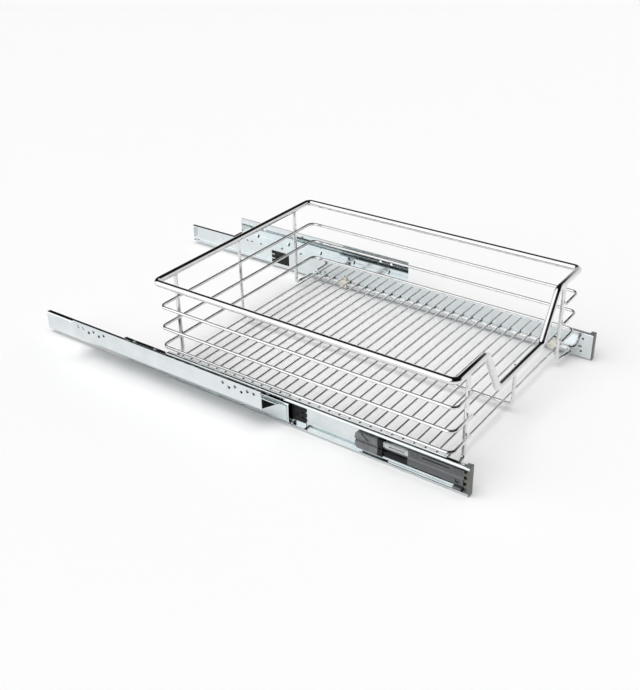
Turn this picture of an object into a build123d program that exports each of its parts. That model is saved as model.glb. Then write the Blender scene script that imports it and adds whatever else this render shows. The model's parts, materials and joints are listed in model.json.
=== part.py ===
from build123d import *
import os

# Pull-out wire basket: a wire basket between two ball-bearing runners, drawn half way out.
# Millimetres, +X to the right, +Y into the cabinet, +Z up.
# The sizes below count Y from the basket's front plane and Z from the foot of the runners.

# Basket
basket_width = 379.0
basket_depth = 490.0
basket_height = 150.0
rim_wire = 7.0
rim_corner_radius = 12.0
dip_half_width_top = 119.0
dip_half_width_bottom = 67.0
dip_height = 71.6
dip_bend_radius = 10.0
ring_wire = 4.0
ring_rises = {"upper": 67.0, "middle": 33.5, "lower": 2.5}
ring_bulges = {"upper": 0.0, "middle": 2.4, "lower": 3.3}
ring_corner_radius = 10.0
frame_wire = 5.5
frame_bend_radius = 8.0
post_inset = 42.5
front_post_y = 2.75
front_foot_y = -4.8
rear_post_setback = 2.75
foot_height = 11.0
centre_wire = 5.0
cross_wire = 3.0
cross_wire_sides = 8
cross_wire_spacing = 17.0
first_cross_wire_y = 18.2
last_cross_wire_setback = 10.8
weld_gap = 0.05

# Drawer channel, open towards the cabinet side
web_reach = 5.0
channel_thickness = 1.4
channel_depth = 9.0
channel_height = 43.0
channel_front_y = -32.2
channel_overhang = 14.0
channel_lip = 3.5
rear_hole_setback = 8.5
channel_bend_radius = 1.2

# Cabinet rail, open towards the basket
ball_diameter = 4.6
ball_clearance = 0.1
rail_thickness = 1.2
rail_bend_radius = 1.2
rail_inset = 3.5
rail_depth = 7.4
rail_shortfall = 11.0
rail_end_tab_height = 19.0
left_rail_front_y = 243.0
right_rail_front_y = 289.0

# Cabinet bracket, screwed to the cabinet side
bracket_thickness = 1.4
bracket_bend_radius = 1.0
bracket_reach = 27.1
bracket_foot_z = 10.0
bracket_shelf_z = 34.2
bracket_top_z = 62.0
plate_setback = 25.0
plate_shortfall = 122.0
ear_length = 22.0
ear_gusset = 12.0
plate_corner_radius = 2.0
screw_hole = 5.0
screw_end_distance = 12.4
screw_pitch = 11.0
screw_top_distance = 7.6
screw_row_drop = 4.5
upper_screw_steps = (0, 1, 3, 5)
lower_screw_steps = (2, 4)
gusset_pitch = 73.0
gusset_size = 4.0
gusset_count = 5
rivet_diameter = 4.0
rivet_head = 7.0
rivet_head_height = 0.8
front_rivet_setback = 60.0
rear_rivet_setback = 72.0

# Ball cage
cage_closed_front_y = 86.0
cage_length = 343.0
cage_thickness = 0.6
cage_web_gap = 0.3
cage_end_block_thickness = 1.4
cage_front_block_length = 24.0
cage_rear_block_length = 40.0
cage_end_block_margin = 6.0
balls_per_row = 8
window_clearance = 0.1

# End cap and guide pads
cap_depth = 7.4
cap_plate = 1.4
cap_lip_height = 3.4
seat_gap = 0.05
pad_start = 11.2
pad_length = 11.5

# Soft-close unit
unit_gap = 0.1
housing_length = 79.6
housing_foot_z = 20.4
housing_top_z = 31.6
saddle_foot_z = 8.2
saddle_length = 6.5
damper_diameter = 7.4
damper_z = 14.2
damper_reach = 5.5
damper_rod = 2.4
damper_rod_clearance = 0.1
bar_foot_z = 24.6
bar_top_z = 30.4
bar_thickness = 4.2
bar_slot_length = 22.0
bar_slot_height = 2.4
arm_foot_z = 20.6
arm_top_z = 23.6
arm_thickness = 2.0
arm_length = 83.0
slide_clearance = 0.2
catch_travel = 36.0
catch_plate_length = 7.4
catch_length = 34.6
catch_foot_z = 9.0
catch_top_z = 34.0
catch_slot_angle = 35.0
activator_setback = 93.0
activator_length = 8.0
activator_height = 4.0
activator_reach = 2.0

# Wire clips
clip_length = 13.0
clip_foot_z = 3.5
clip_top_z = 16.0
clip_reach = 7.6
clip_bore_clearance = 0.08
clip_hook_height = 2.4
clip_hole_length = 6.7
clip_hole_height = 5.7
clip_hole_z = 21.8
front_clip_gap = 0
gaps_behind_rear_clip = 4

# Tab over the basket's front foot
tab_y = 1.0
tab_length = 17.0
tab_reach = 17.0
tab_z = 26.0
tab_leg = 5.0

# Worked out from the sizes above
half_width = basket_width / 2
post_half_spacing = half_width - post_inset
channel_web_x = half_width + web_reach
channel_length = basket_depth + channel_overhang
frame_x = channel_web_x - frame_wire / 2 - 2 * seat_gap
front_ring_y = front_post_y - frame_wire / 2 - ring_wire / 2 - weld_gap
rear_post_y = basket_depth + rear_post_setback
rear_ring_y = rear_post_y - frame_wire / 2 - ring_wire / 2 - weld_gap
post_top_z = basket_height - rim_wire / 2 - weld_gap
cross_wire_z = foot_height + frame_wire / 2 + cross_wire / 2 + weld_gap
last_cross_wire_y = basket_depth - last_cross_wire_setback
cross_wire_count = round((last_cross_wire_y - first_cross_wire_y) / cross_wire_spacing) + 1
rear_clip_gap = cross_wire_count - 1 - gaps_behind_rear_clip
cross_wire_pitch = (last_cross_wire_y - first_cross_wire_y) / (cross_wire_count - 1)
channel_lip_x = channel_web_x + channel_depth - channel_thickness
channel_inner_x = channel_web_x + channel_thickness
channel_rear_y = channel_front_y + channel_length
race_gap = ball_diameter + 2 * ball_clearance
rail_foot_z = channel_thickness + race_gap
rail_top_z = channel_height - rail_foot_z
rail_flange_x = channel_web_x + rail_inset
rail_outer_x = rail_flange_x + rail_depth
rail_inner_x = rail_outer_x - rail_thickness
rail_length = channel_length - rail_shortfall
rail_closed_front_y = channel_front_y + cap_depth + 1.0
bracket_half_width = rail_outer_x + bracket_reach
plate_length = rail_length - plate_shortfall
rivet_positions = (front_rivet_setback, rail_length - plate_setback - rear_rivet_setback)
middle_z = channel_height / 2
ball_z = channel_thickness + race_gap / 2
ball_x = rail_flange_x + 1.75
unit_x = channel_inner_x + unit_gap
unit_front_y = channel_front_y + cap_depth + seat_gap
housing_rear_y = unit_front_y + housing_length
unit_outer_x = rail_inner_x - 0.6
damper_x = channel_web_x + damper_reach
slider_x = rail_flange_x + unit_gap
catch_plate_y = housing_rear_y + catch_travel + 2.0
right_end_y = right_rail_front_y + rail_length
middle_y = (channel_front_y - cap_plate + right_end_y) / 2


def block(x, y, z):
    """A block between the two values of each pair."""
    size = [high - low for low, high in (x, y, z)]
    centre = [(low + high) / 2 for low, high in (x, y, z)]
    return Pos(*centre) * Box(*size)


def outline(x, z):
    """A rectangle on the X-Z plane between the two values of each pair."""
    return Pos((x[0] + x[1]) / 2, (z[0] + z[1]) / 2) * Rectangle(x[1] - x[0], z[1] - z[0])


def along_y(sketch, start, end):
    """The sketch, drawn in X and Z, drawn out from one Y to the other."""
    return extrude(Plane.XZ.offset(-start) * sketch, -(end - start))


def rod(x, z, diameter, start, end):
    """A round rod that runs along Y."""
    return along_y(Pos(x, z) * Circle(diameter / 2), start, end)


def bent_wire(points, diameter, radii, closed=False):
    """A round wire bent round the corners of its route."""
    path = FilletPolyline(*points, radius=radii, close=closed)
    return sweep(Plane(path @ 0, z_dir=path % 0) * Circle(diameter / 2), path=path)


def save(name, shape):
    """Writes one piece, with Y counted from the middle of the whole object."""
    shape = Pos(0, -middle_y, 0) * shape
    shape.label = name
    export_step(shape, f"parts/{name}.step")


def save_pair(name, left, right):
    """Writes a runner piece for each side; both come in at the right-hand side."""
    save(f"left_{name}", mirror(left, about=Plane.YZ))
    save(f"right_{name}", right)


def top_rim():
    """The thick wire: a loop that dips in a V at the front."""
    high = basket_height
    corners = [
        (half_width, basket_depth, high),
        (half_width, 0, high),
        (dip_half_width_top, 0, high),
        (dip_half_width_bottom, 0, dip_height),
        (-dip_half_width_bottom, 0, dip_height),
        (-dip_half_width_top, 0, high),
        (-half_width, 0, high),
        (-half_width, basket_depth, high),
    ]
    radii = [rim_corner_radius] * 2 + [dip_bend_radius] * 4 + [rim_corner_radius] * 2
    return bent_wire(corners, rim_wire, radii, closed=True)


def ring(height, bulge):
    """A thin wire round the sides and the rear, whose ends wrap the front corners."""
    x = half_width + bulge
    end_x = post_half_spacing - frame_wire / 2
    corners = [
        (-end_x, front_ring_y, height),
        (-x, front_ring_y, height),
        (-x, rear_ring_y, height),
        (x, rear_ring_y, height),
        (x, front_ring_y, height),
        (end_x, front_ring_y, height),
    ]
    return bent_wire(corners, ring_wire, ring_corner_radius)


def side_wire():
    """The right-hand post, foot, side rail, foot and post, bent from one wire."""
    corners = [
        (post_half_spacing, front_post_y, post_top_z),
        (post_half_spacing, front_post_y, foot_height),
        (frame_x, front_foot_y, foot_height),
        (frame_x, rear_post_y, foot_height),
        (post_half_spacing, rear_post_y, foot_height),
        (post_half_spacing, rear_post_y, post_top_z),
    ]
    return bent_wire(corners, frame_wire, frame_bend_radius)


def middle_wire():
    """The wire down the middle: rear post, floor run, and front end up to the low bar."""
    floor_z = cross_wire_z - cross_wire / 2 - centre_wire / 2 - weld_gap
    front_y = rim_wire / 2 + centre_wire / 2 + weld_gap
    corners = [
        (0, front_y, dip_height),
        (0, front_y, floor_z),
        (0, rear_post_y, floor_z),
        (0, rear_post_y, post_top_z),
    ]
    return bent_wire(corners, centre_wire, frame_bend_radius)


def cross_wires():
    """The straight wires of the floor, welded on the side rails and the middle wire."""
    half_length = frame_x + frame_wire / 2 - 0.2
    section = RegularPolygon(cross_wire / 2, cross_wire_sides, rotation=180 / cross_wire_sides)
    wire = extrude(Plane.YZ * section, half_length, both=True)
    places = [first_cross_wire_y + cross_wire_pitch * i for i in range(cross_wire_count)]
    return Compound([Pos(0, y, cross_wire_z) * wire for y in places])


def clip_y(gap):
    """The middle of a gap between two cross wires, counted from the front."""
    return first_cross_wire_y + cross_wire_pitch * (gap + 0.5)


def drawer_channel():
    """The drawer's channel: web, flanges and turned-in lips, with its holes and front tab."""
    outer_x = channel_web_x + channel_depth
    outer_radius = channel_thickness + channel_bend_radius
    skin = outline((channel_web_x, outer_x), (0, channel_height))
    skin = fillet(skin.vertices(), outer_radius)
    hollow = outline(
        (channel_inner_x, channel_lip_x),
        (channel_thickness, channel_height - channel_thickness),
    )
    hollow = fillet(hollow.vertices(), channel_bend_radius)
    mouth = outline((channel_inner_x + 3, outer_x + 1), (channel_lip, channel_height - channel_lip))
    body = along_y(skin - hollow - mouth, channel_front_y, channel_rear_y)

    web = (channel_web_x - 1, channel_inner_x + 1)
    cuts = []
    rear_hole = channel_length - rear_hole_setback
    web_holes = ((15.8, 33.2, 3.8), (16.4, 11.5, 3.8), (166.4, 21.8, 3.0), (rear_hole, 20.1, 3.8))
    for along, high, diameter in web_holes:
        drill = Plane.YZ.offset(web[0]) * Pos(channel_front_y + along, high) * Circle(diameter / 2)
        cuts.append(extrude(drill, web[1] - web[0]))
    slot = Plane.YZ.offset(web[0]) * Pos(channel_front_y + 19.0, 19.5) * SlotOverall(6.0, 2.2)
    cuts.append(extrude(slot, web[1] - web[0]))
    for gap in (front_clip_gap, rear_clip_gap):
        y = clip_y(gap)
        half_length = clip_hole_length / 2
        half_height = clip_hole_height / 2
        cuts.append(block(
            web,
            (y - half_length, y + half_length),
            (clip_hole_z - half_height, clip_hole_z + half_height),
        ))
    body -= cuts

    span = (tab_y - tab_length / 2, tab_y + tab_length / 2)
    shelf = block(
        (channel_web_x - tab_reach, channel_web_x), span, (tab_z, tab_z + channel_thickness)
    )
    leg = block(
        (channel_web_x - channel_thickness, channel_web_x), span, (tab_z, tab_z + tab_leg)
    )
    tab = fillet((shelf + leg).edges().filter_by(Axis.Z).sort_by(Axis.X)[:2], 3.0)
    return body + tab


def end_cap():
    """The plastic plug in the channel's front end, with a face plate and a lip on top."""
    outer_x = channel_web_x + channel_depth
    inner = (channel_inner_x + seat_gap, channel_lip_x - seat_gap)
    rear_y = channel_front_y + cap_depth
    low = channel_thickness + seat_gap
    plug = block(inner, (channel_front_y - seat_gap, rear_y), (low, channel_height - low))
    plug = fillet(plug.edges().filter_by(Axis.Y), channel_bend_radius)
    lip_z = channel_height + seat_gap
    face = block(
        (channel_web_x, outer_x),
        (channel_front_y - cap_plate, channel_front_y - seat_gap),
        (seat_gap, lip_z + cap_lip_height),
    )
    face = fillet(face.edges().filter_by(Axis.Y), 1.5)
    lip = block(
        (channel_web_x + 1, outer_x),
        (channel_front_y - seat_gap, rear_y),
        (lip_z, lip_z + cap_lip_height - 1.0),
    )
    cap = plug + face + lip
    notch_depth = cap_depth / 2
    for z in (14.0, 26.5):
        cap -= block((inner[0] + 2.5, outer_x + 1), (rear_y - notch_depth, rear_y + 1), (z, z + 6.0))
    return cap


def guide_pads():
    """Two plastic pads that steady the rail's flanges at the front of the channel."""
    inner = (channel_inner_x + seat_gap, channel_lip_x - 2 * seat_gap)
    start = channel_front_y + pad_start
    span = (start, start + pad_length)
    low = (channel_thickness + seat_gap, rail_foot_z - ball_clearance)
    high = (rail_top_z + ball_clearance, channel_height - channel_thickness - seat_gap)
    pads = [block(inner, span, z) for z in (low, high)]
    return Compound([fillet(pad.edges().filter_by(Axis.Y), channel_bend_radius) for pad in pads])


def wire_clip(y):
    """The moulded clip that holds the basket's side wire against the channel."""
    outer_x = channel_web_x - seat_gap
    span = (y - clip_length / 2, y + clip_length / 2)
    body = block((outer_x - clip_reach, outer_x), span, (clip_foot_z, clip_top_z))
    body = fillet(body.edges().filter_by(Axis.Y).sort_by(Axis.X)[:2], 2.5)
    body -= rod(frame_x, foot_height, frame_wire + 2 * clip_bore_clearance, span[0] - 1, span[1] + 1)
    hole_foot = clip_hole_z - clip_hole_height / 2
    hook_half_length = clip_hole_length / 2 - 0.2
    hook_span = (y - hook_half_length, y + hook_half_length)
    stem = block((outer_x - 2, outer_x), hook_span, (clip_top_z, hole_foot + clip_hook_height))
    hook = block(
        (outer_x - 2, channel_inner_x - seat_gap),
        hook_span,
        (hole_foot + seat_gap, hole_foot + clip_hook_height),
    )
    return body + stem + hook


def soft_close_housing():
    """The fixed body of the soft-close unit: spring box, two damper saddles and a guide arm."""
    across = (unit_x, unit_outer_x)
    front = unit_front_y
    rear = housing_rear_y
    box = block(across, (front, rear), (housing_foot_z, housing_top_z))
    box = fillet(box.edges().filter_by(Axis.Y).sort_by(Axis.X)[-2:], 1.0)
    for start in (front, rear - saddle_length):
        box += block(across, (start, start + saddle_length), (saddle_foot_z, housing_foot_z))
    box -= rod(damper_x, damper_z, damper_diameter + 0.1, front - 1, rear + 1)
    play = slide_clearance
    box -= block(
        (slider_x - play, slider_x + bar_thickness + play),
        (rear - catch_travel - 8.0, rear + 1),
        (bar_foot_z - play, bar_top_z + play),
    )
    arm = block(
        (slider_x, slider_x + arm_thickness), (rear - 1, rear + arm_length), (arm_foot_z, arm_top_z)
    )
    return box + arm


def damper_cylinder():
    """The damper's tube, bored for its rod, with a groove near its mouth."""
    front = unit_front_y
    rear = housing_rear_y
    tube = rod(damper_x, damper_z, damper_diameter, front + 0.5, rear + 0.5)
    bore = damper_rod + 2 * damper_rod_clearance
    return tube - rod(damper_x, damper_z, bore, rear - catch_travel - 16.0, rear + 1)


def slider_bar():
    """The flat bar that the spring pulls, with its slot."""
    span = (housing_rear_y - 5.0, catch_plate_y)
    bar = block((slider_x, slider_x + bar_thickness), span, (bar_foot_z, bar_top_z))
    middle = (housing_rear_y + catch_plate_y) / 2
    opening = Pos(middle, (bar_foot_z + bar_top_z) / 2) * SlotOverall(bar_slot_length, bar_slot_height)
    return bar - extrude(Plane.YZ.offset(slider_x - 1) * opening, bar_thickness + 2)


def damper_piston_rod():
    """The steel rod between the damper and the catch plate."""
    return rod(damper_x, damper_z, damper_rod, housing_rear_y - 10.0, catch_plate_y)


def guide_grooves(start, end):
    """The two grooves of a sliding piece: for the guide arm and for the activator."""
    play = slide_clearance
    arm = block(
        (slider_x - 1, slider_x + arm_thickness + play),
        (start - 1, end + 1),
        (arm_foot_z - play, arm_top_z + play),
    )
    middle = (arm_foot_z + arm_top_z) / 2
    half_height = activator_height / 2 + play
    tongue = block(
        (rail_inner_x - activator_reach - play, rail_inner_x + 1),
        (start - 1, end + 1),
        (middle - half_height, middle + half_height),
    )
    return [arm, tongue]


def catch_plate():
    """The black cross plate that joins the bar, the rod and the catch."""
    span = (catch_plate_y, catch_plate_y + catch_plate_length)
    plate = block((slider_x, unit_outer_x), span, (catch_foot_z - 0.6, catch_top_z + 0.8))
    plate = fillet(plate.edges().filter_by(Axis.Y).sort_by(Axis.X)[-2:], 1.0)
    return plate - guide_grooves(*span)


def catch():
    """The grey catch, with the slanted slot in which it tips to hold itself open."""
    start = catch_plate_y + catch_plate_length
    span = (start, start + catch_length)
    body = block((slider_x, unit_outer_x), span, (catch_foot_z, catch_top_z))
    body = chamfer(body.edges().filter_by(Axis.X).sort_by(Axis.Y)[-2:], 3.0)
    body -= guide_grooves(*span)
    middle = Pos(start + catch_length * 0.55, (arm_top_z + catch_top_z) / 2 + 0.8)
    slot = middle * Rot(0, 0, catch_slot_angle) * SlotOverall(14.0, 2.2)
    return body - extrude(Plane.YZ.offset(unit_outer_x - 2.0) * slot, 3.0)


def activator(rail_front):
    """The tongue inside the rail that draws the catch along."""
    y = rail_front + activator_setback
    middle = (arm_foot_z + arm_top_z) / 2
    half_height = activator_height / 2
    half_length = activator_length / 2
    tongue = block(
        (rail_inner_x - activator_reach, rail_inner_x),
        (y - half_length, y + half_length),
        (middle - half_height, middle + half_height),
    )
    return chamfer(tongue.edges().filter_by(Axis.Z).sort_by(Axis.X)[:2], 0.8)


def cabinet_rail(rail_front):
    """The cabinet's rail: a plain C whose rear end is closed by a turned-in tab."""
    skin = outline((rail_flange_x, rail_outer_x), (rail_foot_z, rail_top_z))
    skin = fillet(skin.vertices().sort_by(Axis.X)[-2:], rail_thickness + rail_bend_radius)
    hollow = outline(
        (rail_flange_x - 1, rail_inner_x),
        (rail_foot_z + rail_thickness, rail_top_z - rail_thickness),
    )
    hollow = fillet(hollow.vertices().sort_by(Axis.X)[-2:], rail_bend_radius)
    rear = rail_front + rail_length
    half_tab = rail_end_tab_height / 2
    tab = block(
        (rail_flange_x + 1, rail_inner_x + rail_thickness / 2),
        (rear - rail_thickness, rear),
        (middle_z - half_tab, middle_z + half_tab),
    )
    body = along_y(skin - hollow, rail_front, rear) + tab
    return body - rivet_row(rail_front, rivet_diameter)


def rivet_row(rail_front, diameter):
    """The shanks of the rivets through the rail's web and the bracket."""
    length = rail_thickness + bracket_thickness
    spots = [rail_front + plate_setback + step for step in rivet_positions]
    drill = Plane.YZ.offset(rail_inner_x) * Circle(diameter / 2)
    return [Pos(0, y, middle_z) * extrude(drill, length) for y in spots]


def rivets(rail_front):
    """The rivets: a shank with a flat head on each side."""
    made = []
    for shank in rivet_row(rail_front, rivet_diameter):
        centre = shank.center()
        outside = rail_outer_x + bracket_thickness
        head = Plane.YZ.offset(outside) * Pos(centre.Y, centre.Z) * Circle(rivet_head / 2)
        made.append(shank + extrude(head, rivet_head_height, taper=20))
    return Compound(made)


def corner_at(section, x, z):
    """The section's corner nearest to a point."""
    return min(section.vertices(), key=lambda corner: (corner.X - x) ** 2 + (corner.Y - z) ** 2)


def cabinet_bracket(rail_front):
    """The Z-shaped bracket: leg on the rail, shelf, and plate on the cabinet side."""
    plate_front = rail_front + plate_setback
    plate_rear = plate_front + plate_length
    leg_x = (rail_outer_x, rail_outer_x + bracket_thickness)
    plate_x = (bracket_half_width - bracket_thickness, bracket_half_width)
    under = bracket_shelf_z - bracket_thickness
    bends = [
        (leg_x[0], bracket_foot_z),
        (leg_x[1], bracket_foot_z),
        (leg_x[1], under),
        (plate_x[1], under),
        (plate_x[1], bracket_top_z),
        (plate_x[0], bracket_top_z),
        (plate_x[0], bracket_shelf_z),
        (leg_x[0], bracket_shelf_z),
    ]
    section = make_face(Polyline(*bends, close=True))
    inside = [corner_at(section, leg_x[1], under), corner_at(section, plate_x[0], bracket_shelf_z)]
    section = fillet(inside, bracket_bend_radius)
    outside = [corner_at(section, plate_x[1], under), corner_at(section, leg_x[0], bracket_shelf_z)]
    section = fillet(outside, bracket_bend_radius + bracket_thickness)
    body = along_y(section, plate_front - ear_length, plate_rear)

    ear = block(
        (leg_x[1], bracket_half_width + 1),
        (plate_front - ear_length - 1, plate_front),
        (bracket_foot_z - 1, bracket_top_z + 1),
    )
    keep = make_face(Polyline(
        (leg_x[0], plate_front), (plate_x[0] - 1, plate_front), (leg_x[0], plate_front - ear_gusset),
        close=True,
    ))
    keep = extrude(Plane.XY.offset(under - 1) * keep, bracket_thickness + 2)
    body -= ear - keep

    for fold in range(gusset_count):
        y = plate_front + (plate_length - gusset_pitch * (gusset_count - 1)) / 2 + gusset_pitch * fold
        rib = make_face(Polyline(
            (plate_x[0] - gusset_size, bracket_shelf_z),
            (plate_x[0], bracket_shelf_z),
            (plate_x[0], bracket_shelf_z + gusset_size),
            close=True,
        ))
        body += along_y(rib, y - 1.5, y + 1.5)

    top_corners = [
        edge for edge in body.edges().filter_by(Axis.X) if edge.center().Z > bracket_top_z - 0.01
    ]
    body = fillet(top_corners, plate_corner_radius)
    drills = []
    for end, inward in ((plate_front, 1), (plate_rear, -1)):
        for steps, drop in ((upper_screw_steps, 0), (lower_screw_steps, screw_row_drop)):
            for step in steps:
                y = end + inward * (screw_end_distance + screw_pitch * step)
                z = bracket_top_z - screw_top_distance - drop
                drill = Plane.YZ.offset(plate_x[0] - 1) * Pos(y, z) * Circle(screw_hole / 2)
                drills.append(extrude(drill, bracket_thickness + 2))
    body -= drills
    return body - rivet_row(rail_front, rivet_diameter)


def cage_front(rail_front):
    """The cage's front end: it travels half as far as the rail."""
    return cage_closed_front_y + (rail_front - rail_closed_front_y) / 2


def ball_places(front):
    """Where the balls sit along the cage."""
    spacing = cage_length / balls_per_row
    return [front + spacing * (i + 0.5) for i in range(balls_per_row)]


def ball_cage(rail_front):
    """The steel cage: a U with a window for each ball in its two edges."""
    front = cage_front(rail_front)
    low = ball_z - cage_thickness / 2
    high = channel_height - low
    web_x = channel_inner_x + cage_web_gap
    skin = outline((web_x, channel_lip_x - 0.2), (low, high))
    hollow = outline(
        (web_x + cage_thickness, channel_lip_x + 1), (low + cage_thickness, high - cage_thickness)
    )
    body = along_y(skin - hollow, front, front + cage_length)
    window = ball_diameter / 2 + window_clearance
    for y in ball_places(front):
        body -= block((ball_x - window, channel_lip_x + 1), (y - window, y + window), (low - 1, high + 1))
    ends = (
        (front, front + cage_front_block_length),
        (front + cage_length - cage_rear_block_length, front + cage_length),
    )
    for start, end in ends:
        body -= block(
            (web_x - 1, web_x + cage_thickness + 1),
            (start - 1 if start == front else start, end + 1 if start != front else end),
            (low + cage_end_block_margin, high - cage_end_block_margin),
        )
    return body


def cage_end(rail_front, rear):
    """A black plastic end block, set in the cage's cut-away web."""
    front = cage_front(rail_front)
    length = cage_rear_block_length if rear else cage_front_block_length
    start = front + cage_length - length if rear else front
    low = ball_z - cage_thickness / 2 + cage_end_block_margin
    web_x = channel_inner_x + cage_web_gap
    body = block(
        (web_x, web_x + cage_end_block_thickness),
        (start + seat_gap, start + length - seat_gap),
        (low + seat_gap, channel_height - low - seat_gap),
    )
    return fillet(body.edges().filter_by(Axis.X), 2.0)


def balls(rail_front):
    """The steel balls, each a many-sided solid of the ball's size."""
    size = ball_diameter
    prism = Box(size, size, size)
    ball = prism
    for turn in (Rot(45, 0, 0), Rot(0, 45, 0), Rot(0, 0, 45)):
        ball = ball & (turn * prism)
    places = ball_places(cage_front(rail_front))
    heights = (ball_z, channel_height - ball_z)
    return Compound([Pos(ball_x, y, z) * ball for y in places for z in heights])


os.makedirs("parts", exist_ok=True)

save("basket_rim", top_rim())
for ring_name, rise in ring_rises.items():
    save(f"basket_{ring_name}_ring", ring(channel_height + rise, ring_bulges[ring_name]))
save("basket_centre_wire", middle_wire())
save("basket_cross_wires", cross_wires())
save_pair("side_wire", side_wire(), side_wire())

for name, maker in {
    "drawer_channel": drawer_channel,
    "channel_end_cap": end_cap,
    "guide_pads": guide_pads,
    "soft_close_housing": soft_close_housing,
    "damper_cylinder": damper_cylinder,
    "damper_rod": damper_piston_rod,
    "slider_bar": slider_bar,
    "catch_plate": catch_plate,
    "catch": catch,
}.items():
    piece = maker()
    save_pair(name, piece, piece)

for name, gap in (("front_clip", front_clip_gap), ("rear_clip", rear_clip_gap)):
    piece = wire_clip(clip_y(gap))
    save_pair(name, piece, piece)

for name, maker in {
    "cabinet_rail": cabinet_rail,
    "cabinet_bracket": cabinet_bracket,
    "bracket_rivets": rivets,
    "activator": activator,
    "ball_cage": ball_cage,
    "cage_balls": balls,
    "cage_front_end": lambda rail_front: cage_end(rail_front, rear=False),
    "cage_rear_end": lambda rail_front: cage_end(rail_front, rear=True),
}.items():
    save_pair(name, maker(left_rail_front_y), maker(right_rail_front_y))
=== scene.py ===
# %% [markdown]
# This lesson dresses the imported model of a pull-out wire basket: bent chromed wires that
# stand between two ball-bearing runners. The CAD model comes in first, as a fixed frame.
# Nothing in it is moved. Pieces that need a rounder shape or finer edges are modelled
# anew in the place that the frame gives, and every piece gets its own finish.

# %% Open the frame
import json
import math
import bpy
import bmesh
from mathutils import Matrix, Vector

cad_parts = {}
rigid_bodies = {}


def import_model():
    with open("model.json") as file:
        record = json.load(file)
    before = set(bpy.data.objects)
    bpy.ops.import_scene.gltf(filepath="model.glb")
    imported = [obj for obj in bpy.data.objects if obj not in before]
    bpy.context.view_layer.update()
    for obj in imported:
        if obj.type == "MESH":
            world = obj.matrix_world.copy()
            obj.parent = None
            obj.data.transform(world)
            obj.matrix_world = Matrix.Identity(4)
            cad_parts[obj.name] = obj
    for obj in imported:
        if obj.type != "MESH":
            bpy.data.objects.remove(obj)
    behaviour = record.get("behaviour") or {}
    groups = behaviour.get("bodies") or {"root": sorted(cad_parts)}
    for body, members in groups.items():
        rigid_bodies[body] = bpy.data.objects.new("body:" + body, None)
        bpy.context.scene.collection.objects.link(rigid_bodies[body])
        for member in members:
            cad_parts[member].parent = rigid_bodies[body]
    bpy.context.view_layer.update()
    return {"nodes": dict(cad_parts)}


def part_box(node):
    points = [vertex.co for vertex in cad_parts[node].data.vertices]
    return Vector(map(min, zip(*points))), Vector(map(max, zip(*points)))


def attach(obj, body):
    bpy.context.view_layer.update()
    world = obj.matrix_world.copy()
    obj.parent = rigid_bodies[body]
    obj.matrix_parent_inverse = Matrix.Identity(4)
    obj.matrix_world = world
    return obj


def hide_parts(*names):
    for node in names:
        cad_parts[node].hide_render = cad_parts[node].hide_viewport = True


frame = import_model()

mm = 0.001

# %% [markdown]
# The camera stands where the photographer stood: to the left of the basket's front and
# about 1.5 m away, looking down at 30 degrees. Its place and focal length were worked out
# from the basket's straight edges. The frame is square to the sensor, so there is no
# lens shift, and depth of field stays off.

# %% Place the camera
camera_place = Vector((-1.0571, -0.8066, 0.7488))
camera_azimuth = math.radians(-53.9628)
camera_elevation = math.radians(29.7094)
camera_roll = math.radians(-1.1694)
lens_length = 49.61
sensor_width = 36.0

camera_data = bpy.data.cameras.new("photo_camera")
camera = bpy.data.objects.new("photo_camera", camera_data)
bpy.context.scene.collection.objects.link(camera)
camera_data.sensor_fit = "AUTO"
camera_data.sensor_width = sensor_width
camera_data.lens = lens_length
camera_data.clip_start = 0.05
camera_data.clip_end = 60.0

back = Vector((
    math.sin(camera_azimuth) * math.cos(camera_elevation),
    -math.cos(camera_azimuth) * math.cos(camera_elevation),
    math.sin(camera_elevation),
))
right = Vector((math.cos(camera_azimuth), math.sin(camera_azimuth), 0.0))
up = back.cross(right)
turned_right = math.cos(camera_roll) * right + math.sin(camera_roll) * up
turned_up = -math.sin(camera_roll) * right + math.cos(camera_roll) * up
turn = Matrix((turned_right, turned_up, back)).transposed().to_4x4()
camera.matrix_world = Matrix.Translation(camera_place) @ turn
bpy.context.scene.camera = camera
bpy.context.scene.view_settings.view_transform = "Standard"
print("camera at", tuple(round(value, 3) for value in camera_place))

# %% [markdown]
# Bright metal is only as good as what it mirrors, and the lines along each wire in the
# photo tell what that was. Straight wires show a bright band where they mirror a large
# soft box on the left, and a black line where they mirror the unlit ceiling behind the
# basket. Pale walls stand near the horizon, and are lowest behind the basket. Bends that
# face the camera are black, because the room is dark on that side. The world repeats this
# room, as shares of the sky.

# %% Helper for shares of the sky
def math_node(tree, kind, first, second=None):
    """A math node with one or two values, which may be numbers or sockets."""
    node = tree.nodes.new("ShaderNodeMath")
    node.operation = kind
    for slot, value in enumerate((first, second)):
        if isinstance(value, (int, float)):
            node.inputs[slot].default_value = value
        elif value is not None:
            tree.links.new(value, node.inputs[slot])
    return node.outputs["Value"]


def span(tree, value, low, high, new_low, new_high, soft=False):
    """Stretches a value from one range to another and stops at its ends."""
    node = tree.nodes.new("ShaderNodeMapRange")
    node.interpolation_type = "SMOOTHSTEP" if soft else "LINEAR"
    node.inputs["From Min"].default_value = low
    node.inputs["From Max"].default_value = high
    for label, bound in (("To Min", new_low), ("To Max", new_high)):
        if isinstance(bound, (int, float)):
            node.inputs[label].default_value = bound
        else:
            tree.links.new(bound, node.inputs[label])
    tree.links.new(value, node.inputs["Value"])
    return node.outputs["Result"]


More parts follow.
